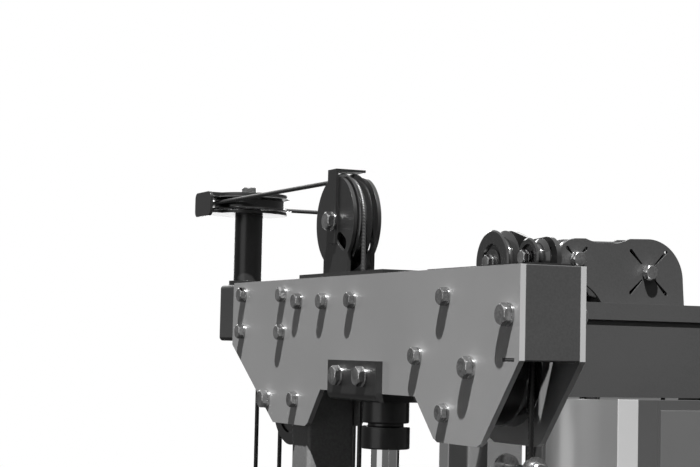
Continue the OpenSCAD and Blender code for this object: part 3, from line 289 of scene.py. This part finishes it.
def clean_faces(piece):
    """Joins the loose triangles and dissolves them into the flat faces they came from."""
    select_only(piece)
    bpy.ops.object.mode_set(mode="EDIT")
    bpy.ops.mesh.select_all(action="SELECT")
    bpy.ops.mesh.remove_doubles(threshold=0.00001)
    bpy.ops.mesh.dissolve_limited(angle_limit=math.radians(0.5))
    bpy.ops.object.mode_set(mode="OBJECT")


def soften(name, width, segments=2):
    """The CAD node's own form with rounded edges."""
    piece = copy_of(name, name + "_edged")
    clean_faces(piece)
    bevel = piece.modifiers.new("round", "BEVEL")
    bevel.width = width
    bevel.segments = segments
    bevel.limit_method = "ANGLE"
    bevel.angle_limit = math.radians(38)
    bevel.use_clamp_overlap = True
    bevel.harden_normals = False
    bpy.ops.object.modifier_apply(modifier="round")
    bpy.ops.object.shade_smooth_by_angle(angle=math.radians(34))
    flat = piece.modifiers.new("flat", "WEIGHTED_NORMAL")
    flat.mode = "FACE_AREA"
    flat.weight = 60
    flat.keep_sharp = True
    bpy.ops.object.modifier_apply(modifier="flat")
    return place(piece, name)


EDGES = {
    "boom_plate_left": 0.0005, "boom_plate_right": 0.0005, "boom_tube": 0.0006,
    "end_cover": 0.0009, "pivot_bracket": 0.0012, "column_collar": 0.0008,
    "horizontal_yoke": 0.0005, "vertical_yoke": 0.0005, "small_bracket": 0.0005,
    "cross_beam": 0.0008, "tower_bracket": 0.0004, "pulley_brackets": 0.0006,
    "floating_block": 0.0004, "main_upright": 0.0006, "base_beam": 0.0008,
    "base_rails": 0.0008, "rubber_feet": 0.001, "tower_posts": 0.0012,
    "tower_front_shroud": 0.0005, "tower_rear_shroud": 0.0005, "tower_side_windows": 0.0006,
    "placard": 0.0004, "stack_lower": 0.0012, "stack_upper": 0.0012, "pad_frames": 0.0007,
    "seat_post": 0.0008, "leg_developer": 0.0008, "lat_yoke": 0.0006,
    "boom_bolts": 0.00025, "pulley_bolts": 0.00025,
}
triangles = 0
for name, width in EDGES.items():
    piece = soften(name, width)
    triangles += sum(len(p.vertices) - 2 for p in piece.data.polygons)
print("edged pieces:", len(EDGES), "with", triangles, "triangles")

# %% [markdown]
# The tower's front sheet is one folded sheet with applied strips: a white one and a dark
# one on each side of the placard. The sheet already has shallow steps at the seams, so a
# face takes its strip's finish from how far it lies from the sheet's edge. The faces that
# look upward get the dark strip's colour too, as painted shade for the shadow under the
# cross beam.

# %% Strips on the front sheet
# How far in from the sheet's edge each strip starts and ends
STRIPS = [(0.065, 0.093, "strip_white"), (0.093, 0.120, "strip_dark_and_painted_shade"),
          (0.120, 0.190, "strip_dark_and_painted_shade")]
SEAM_DEPTH = 0.002
sheet_low, sheet_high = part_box("tower_front_shroud")
sheet = bpy.data.objects["tower_front_shroud_edged"]
FINISHES["strip_white"] = finish("strip_white", grey(0.225), 0.4, grain=900, drift=0.03)
FINISHES["strip_dark_and_painted_shade"] = finish("strip_dark_and_painted_shade", grey(0.036), 0.35, grain=1200, drift=0.06)
for title in ("strip_white", "strip_dark_and_painted_shade"):
    sheet.data.materials.append(FINISHES[title])
for face in sheet.data.polygons:
    inset = min(face.center.x - sheet_low.x, sheet_high.x - face.center.x)
    # Painted shade: upward faces take the dark strip's colour, for the cross beam's shadow on top
    if face.normal.z > 0.3:
        face.material_index = sheet.data.materials.find("strip_dark_and_painted_shade")
    if face.center.y > sheet_low.y + SEAM_DEPTH:
        continue
    for near, far, title in STRIPS:
        if near < inset < far:
            face.material_index = sheet.data.materials.find(title)
print("strip faces:", sum(1 for face in sheet.data.polygons if face.material_index))

# %% [markdown]
# The boom's plates are cut by laser and then coated. Their cut rims are painted a little
# lighter than the faces: painted light, standing in for the light that the rims catch. A rim
# face is one whose normal doesn't point sideways, so the rims are picked by their normals
# instead of by hand.

# %% Bright rims on the plates
# Painted light: the rims get a lighter grey than the plate faces, for the light they catch
FINISHES["plate_rim_painted_light"] = finish("plate_rim_painted_light", grey(0.205), 0.3, grain=900, drift=0.05)
for side in ("left", "right"):
    plate = bpy.data.objects["boom_plate_%s_edged" % side]
    plate.data.materials.append(FINISHES["plate_rim_painted_light"])
    for face in plate.data.polygons:
        if abs(face.normal.x) < 0.3:
            face.material_index = 1
    print(plate.name, "rim faces:", sum(face.material_index for face in plate.data.polygons))

# %% [markdown]
# The seat and the back rest are foam on a board under stretched vinyl. The CAD solid holds
# their room; here each is remeshed to even small faces, blown up a little as cloth, and
# kept flat where it lies on its board. The cloth gives the crown and the soft, uneven
# corners that a bevelled block never has.

# %% Swelling a pad
SWELL_FRAMES = 20
CLOTH_STIFFNESS = 20
scene = bpy.context.scene


def swell(piece, voxel, press, cap, held):
    """Blows a closed mesh up as cloth; no point moves further than cap, and held ones stay."""
    select_only(piece)
    remesh = piece.modifiers.new("even", "REMESH")
    remesh.mode = "VOXEL"
    remesh.voxel_size = voxel
    bpy.ops.object.modifier_apply(modifier="even")
    start = [v.co.copy() for v in piece.data.vertices]
    cloth = piece.modifiers.new("air", "CLOTH")
    cloth.settings.use_pressure = True
    cloth.settings.uniform_pressure_force = press
    cloth.settings.effector_weights.gravity = 0
    cloth.settings.tension_stiffness = CLOTH_STIFFNESS
    cloth.settings.compression_stiffness = CLOTH_STIFFNESS
    for step in range(1, SWELL_FRAMES + 1):
        scene.frame_set(step)
    bpy.ops.object.modifier_apply(modifier="air")
    scene.frame_set(1)
    for vertex, place_was in zip(piece.data.vertices, start):
        moved = vertex.co - place_was
        if held(place_was):
            vertex.co = place_was
        elif moved.length > cap:
            vertex.co = place_was + moved * (cap / moved.length)
    soft = piece.modifiers.new("soft", "SUBSURF")
    soft.levels = soft.render_levels = 1
    bpy.ops.object.modifier_apply(modifier="soft")
    bpy.ops.object.shade_smooth()
    return piece


def squeezed(name, title, shares):
    """A copy of a pad's CAD solid, a little smaller about its own middle."""
    piece = copy_of(name, title)
    low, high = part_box(name)
    select_only(piece)
    bpy.ops.object.mode_set(mode="EDIT")
    bpy.ops.mesh.select_all(action="SELECT")
    bpy.ops.mesh.remove_doubles(threshold=0.00001)
    bpy.ops.transform.resize(value=shares, center_override=(low + high) / 2)
    bpy.ops.object.mode_set(mode="OBJECT")
    return piece


print("cloth steps per pad:", SWELL_FRAMES)

# %% [markdown]
# Both pads start a little smaller than their solids, because the air makes them grow, and
# each is slid back onto its board. Points within a few millimetres of the board are held,
# since the board doesn't give.

# %% Seat and back rest
PAD_PRESS = 4.0
PAD_CAP = 0.008
ON_BOARD = 0.004
seat_low, seat_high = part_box("seat_pad")
seat = squeezed("seat_pad", "seat_cushion", (0.975, 0.975, 0.94))
seat_floor = min(v.co.z for v in seat.data.vertices)
for vertex in seat.data.vertices:
    vertex.co.z -= seat_floor - seat_low.z
swell(seat, 0.005, PAD_PRESS, PAD_CAP, lambda p: p.z < seat_low.z + ON_BOARD)
place(seat, "seat_pad")

back_low, back_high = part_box("back_pad")
back = squeezed("back_pad", "back_cushion", (0.975, 0.94, 0.985))
back_wall = max(v.co.y for v in back.data.vertices)
for vertex in back.data.vertices:
    vertex.co.y += back_high.y - back_wall
swell(back, 0.006, PAD_PRESS, PAD_CAP, lambda p: p.y > back_high.y - ON_BOARD)
place(back, "back_pad")
for pad in (seat, back):
    dress(pad, "pad_leather")
print("cushions:", [len(pad.data.polygons) for pad in (seat, back)], "faces")

# %% [markdown]
# Vinyl is sewn round the pad where its top panel meets its side band, with a cord in the
# seam. A flat ring with rounded corners becomes a curve, and the curve gets the cord's
# thickness. The cord is drawn onto the swollen pad, so it lies on it all the way round.

# %% Piping round the pads
PIPING_R = 0.0022
SEAM_CORNER = 0.05
SEAM_LEVEL = 0.66  # share of the pad's thickness, up from its board


def piping(title, pad, centre, size, level, axis, body):
    """A sewn cord round a pad, level along axis, pulled onto the pad's surface."""
    bpy.ops.object.select_all(action="DESELECT")
    turn = (math.pi / 2, 0, 0) if axis == 1 else (0, 0, 0)
    spot = list(centre)
    spot[axis] = level
    bpy.ops.mesh.primitive_plane_add(size=1, location=spot, rotation=turn)
    ring = bpy.context.active_object
    ring.scale = (size[0], size[1], 1)
    bpy.ops.object.transform_apply(location=True, rotation=True, scale=True)
    bpy.ops.object.mode_set(mode="EDIT")
    bpy.ops.mesh.select_all(action="SELECT")
    bpy.ops.mesh.bevel(offset=SEAM_CORNER, segments=12, affect="VERTICES", clamp_overlap=False)
    bpy.ops.mesh.delete(type="ONLY_FACE")
    bpy.ops.mesh.select_all(action="SELECT")
    bpy.ops.mesh.subdivide(number_cuts=6)
    bpy.ops.object.mode_set(mode="OBJECT")
    pull = ring.modifiers.new("pull", "SHRINKWRAP")
    pull.target = pad
    pull.wrap_method = "NEAREST_SURFACEPOINT"
    bpy.ops.object.modifier_apply(modifier="pull")
    for vertex in ring.data.vertices:
        vertex.co[axis] = level
    bpy.ops.object.convert(target="CURVE")
    ring.data.bevel_depth = PIPING_R
    ring.data.bevel_resolution = 3
    bpy.ops.object.convert(target="MESH")
    bpy.ops.object.shade_smooth()
    ring.name = title
    dress(ring, "pad_leather")
    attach(ring, body)
    return ring


seat_size = seat_high - seat_low
back_size = back_high - back_low
seat_seam = piping("seat_piping", seat, (seat_low + seat_high) / 2, (seat_size.x, seat_size.y),
                   seat_low.z + seat_size.z * SEAM_LEVEL, 2, nodes["seat_pad"]["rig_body"])
back_seam = piping("back_piping", back, (back_low + back_high) / 2, (back_size.x, back_size.z),
                   back_high.y - back_size.y * SEAM_LEVEL, 1, nodes["back_pad"]["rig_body"])
print("piping:", [len(seam.data.polygons) for seam in (seat_seam, back_seam)], "faces")

# %% [markdown]
# The arms and the leg lever carry rolls of closed foam, pushed onto their tubes. The foam
# is pinched where it grips the tube and swells between, so the same cloth step serves, with
# less pressure and the bore held in place.

# %% Foam rolls
FOAM = finish("foam_black", grey(0.022), 0.82, grain=700, patch=14, peel=0.0005, drift=0.2,
              spread=0.06, level=0.3)
FOAM_SHARE = 0.96  # the roll's width before it swells


def foam(name, title, axis, bore):
    """A foam roll or a pair of them on one line, swollen round the tube it grips."""
    shares = [FOAM_SHARE] * 3
    shares[axis] = 1.0
    low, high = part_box(name)
    middle = (low + high) / 2
    roll = squeezed(name, title, shares)

    def grips(p):
        off = p - middle
        off[axis] = 0
        return off.length < bore

    swell(roll, 0.004, 1.5, 0.003, grips)
    place(roll, name)
    roll.data.materials.clear()
    roll.data.materials.append(FOAM)
    return roll


rolls = [foam("fly_pad_left", "foam_left", 2, 0.028),
         foam("fly_pad_right", "foam_right", 2, 0.028),
         foam("leg_rollers", "foam_rollers", 0, 0.018)]
print("foam:", [len(roll.data.polygons) for roll in rolls], "faces")

# %% [markdown]
# Four straight runs of cable change length as the machine works, each between the frame and
# a body that slides. Here each run is copied from its node, shaded smooth and left standing
# where the node stood, in its place.

# %% Cable runs
ROUND_STOCK = math.radians(32)  # sharper corners than this stay sharp
# The body that each run ends on, the height that stays and the height that goes along
RUNS = {
    "lat_cable_drop": ("lat", 1.902, 1.799),
    "stack_cable_drop": ("stack", 2.017, 0.551),
    "block_cables_upper": ("block", 1.854, 1.010),
    "block_cables_lower": ("block", 0.135, 0.900),
}
for name, (load, still, moving) in RUNS.items():
    run = copy_of(name, name + "_run")
    select_only(run)
    bpy.ops.object.shade_smooth_by_angle(angle=ROUND_STOCK)
    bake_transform(run)
    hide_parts(name)
print("cable runs:", len(RUNS))

# %% [markdown]
# The cables are twisted steel in a tight black sleeve, so each shows a fine diagonal lay.
# Planes that cross a thin round rod at a slant cut it in slanted bands, so one diagonal
# wave on Object coordinates gives the lay on every run without following its path.

# %% The cable's lay
LAY_SCALE = 160
LAY_DEPTH = 0.00025
lay_tree = FINISHES["cable_black"].node_tree
where = lay_tree.nodes.new("ShaderNodeTexCoord")
lay = lay_tree.nodes.new("ShaderNodeTexWave")
lay.wave_type = "BANDS"
lay.bands_direction = "DIAGONAL"
lay.inputs["Scale"].default_value = LAY_SCALE
lay.inputs["Distortion"].default_value = 0.0
twist = lay_tree.nodes.new("ShaderNodeBump")
twist.inputs["Distance"].default_value = LAY_DEPTH
lay_tree.links.new(where.outputs["Object"], lay.inputs["Vector"])
lay_tree.links.new(lay.outputs["Fac"], twist.inputs["Height"])
lay_tree.links.new(twist.outputs["Normal"], lay_tree.nodes["Principled BSDF"].inputs["Normal"])
print("cable lay:", LAY_DEPTH * 1000, "mm deep")

# %% [markdown]
# What is turned or bent from round stock needs no bevel, only smooth shading that stops at
# the real corners. The CAD mesh stays as it is.

# %% Smooth shading on the nodes that stay
staying = [node for node in nodes.values() if not node.hide_render]
for node in staying:
    select_only(node)
    bpy.ops.object.shade_smooth_by_angle(angle=ROUND_STOCK)
print("nodes shaded smooth:", len(staying))

# %% [markdown]
# Around the machine is a bright, even room. The camera sees it as white, while glossy parts
# mirror a room that is dim near the floor and brighter towards its ceiling, which gives
# tubes and bolts their soft bands of light.

# %% The room
world = bpy.data.worlds.new("studio")
bpy.context.scene.world = world
world.use_nodes = True
sky = world.node_tree.nodes["Background"]
seen = world.node_tree.nodes.new("ShaderNodeLightPath")
shown_sky = world.node_tree.nodes.new("ShaderNodeMix")
shown_sky.data_type = "RGBA"
shown_sky.inputs["B"].default_value = (1.0, 1.0, 1.0, 1)
# Light from each height, from straight down to straight up
ROOM = [(0.0, 0.12), (0.45, 0.12), (0.52, 0.18), (0.66, 0.2), (0.82, 0.5), (1.0, 0.8)]
toward = world.node_tree.nodes.new("ShaderNodeTexCoord")
split = world.node_tree.nodes.new("ShaderNodeSeparateXYZ")
height = world.node_tree.nodes.new("ShaderNodeMapRange")
height.inputs["From Min"].default_value = -1.0
room = world.node_tree.nodes.new("ShaderNodeValToRGB")
while len(room.color_ramp.elements) < len(ROOM):
    room.color_ramp.elements.new(0.5)
for stop, (share, light) in zip(room.color_ramp.elements, ROOM):
    stop.position = share
    stop.color = (light, light, light, 1)
world.node_tree.links.new(toward.outputs["Generated"], split.inputs["Vector"])
world.node_tree.links.new(split.outputs["Z"], height.inputs["Value"])
world.node_tree.links.new(height.outputs["Result"], room.inputs["Fac"])
world.node_tree.links.new(room.outputs["Color"], shown_sky.inputs["A"])
world.node_tree.links.new(seen.outputs["Is Camera Ray"], shown_sky.inputs["Factor"])
# Matt faces get less of the room than a mirror shows, so the key's shadows stay deep
share_lit = world.node_tree.nodes.new("ShaderNodeMapRange")
share_lit.inputs["To Min"].default_value = 1.0
share_lit.inputs["To Max"].default_value = 0.2
world.node_tree.links.new(seen.outputs["Is Diffuse Ray"], share_lit.inputs["Value"])
world.node_tree.links.new(share_lit.outputs["Result"], sky.inputs["Strength"])
world.node_tree.links.new(shown_sky.outputs["Result"], sky.inputs["Color"])
print("room light from floor to ceiling:", [light for share, light in ROOM])

# %% [markdown]
# Light decides most of the look here. The photograph has a hard key almost straight
# overhead, nearly in the plane of the boom's plates, so every bolt throws a long thin
# shadow down the plate. Soft boxes fill in from the front and the left. The one behind the
# tower is only for other views: nothing that the photograph shows faces it.

# %% Lights


def sun(name, travel, power, spread):
    """A distant light that shines along travel."""
    light = bpy.data.objects.new(name, bpy.data.lights.new(name, "SUN"))
    light.data.energy = power
    light.data.angle = math.radians(spread)
    light.rotation_mode = "QUATERNION"
    light.rotation_quaternion = Vector(travel).to_track_quat("-Z", "Y")
    bpy.context.scene.collection.objects.link(light)
    return light


def soft_box(name, spot, target, size, power):
    """A large soft light that faces a point."""
    light = bpy.data.objects.new(name, bpy.data.lights.new(name, "AREA"))
    light.data.shape = "SQUARE"
    light.data.size = size
    light.data.energy = power
    light.location = spot
    light.rotation_mode = "QUATERNION"
    light.rotation_quaternion = (Vector(target) - Vector(spot)).to_track_quat("-Z", "Y")
    bpy.context.scene.collection.objects.link(light)
    return light


sun("key", (0.22, 0.346, -0.912), 19.0, 0.8)
soft_box("fill_front", (0.5, -2.5, 4.5), (0, -0.2, 1.8), 1.0, 20)
soft_box("fill_left", (-3.0, -1.1, 2.1), (0.2, -0.2, 1.9), 2.6, 16)
soft_box("fill_rear", (1.2, 3.4, 2.6), (0.1, 0.4, 1.2), 2.6, 70)

lamps = [item.name for item in scene.objects if item.type == "LIGHT"]
print("lights:", lamps)

# %% [markdown]
# The floor is a plain pale sheet that only catches shadows. It isn't part of the object, and
# it throws no light back up, because the photograph's machine stands against an empty
# background.

# %% Floor
FLOOR_SIZE = 10
bpy.ops.object.select_all(action="DESELECT")
bpy.ops.mesh.primitive_plane_add(size=FLOOR_SIZE, location=(0, 0, 0))
floor = bpy.context.active_object
floor.name = "floor"
floor.data.materials.append(finish("floor_pale", grey(0.19), 0.6, grain=30, drift=0.01))
floor.visible_diffuse = False
floor.visible_glossy = False

scene.view_settings.view_transform = "Standard"
scene.view_settings.look = "None"
print("floor:", FLOOR_SIZE, "m across")

# %% [markdown]
# Last, every object's place is brought up to date.

# %% The end
bpy.context.view_layer.update()
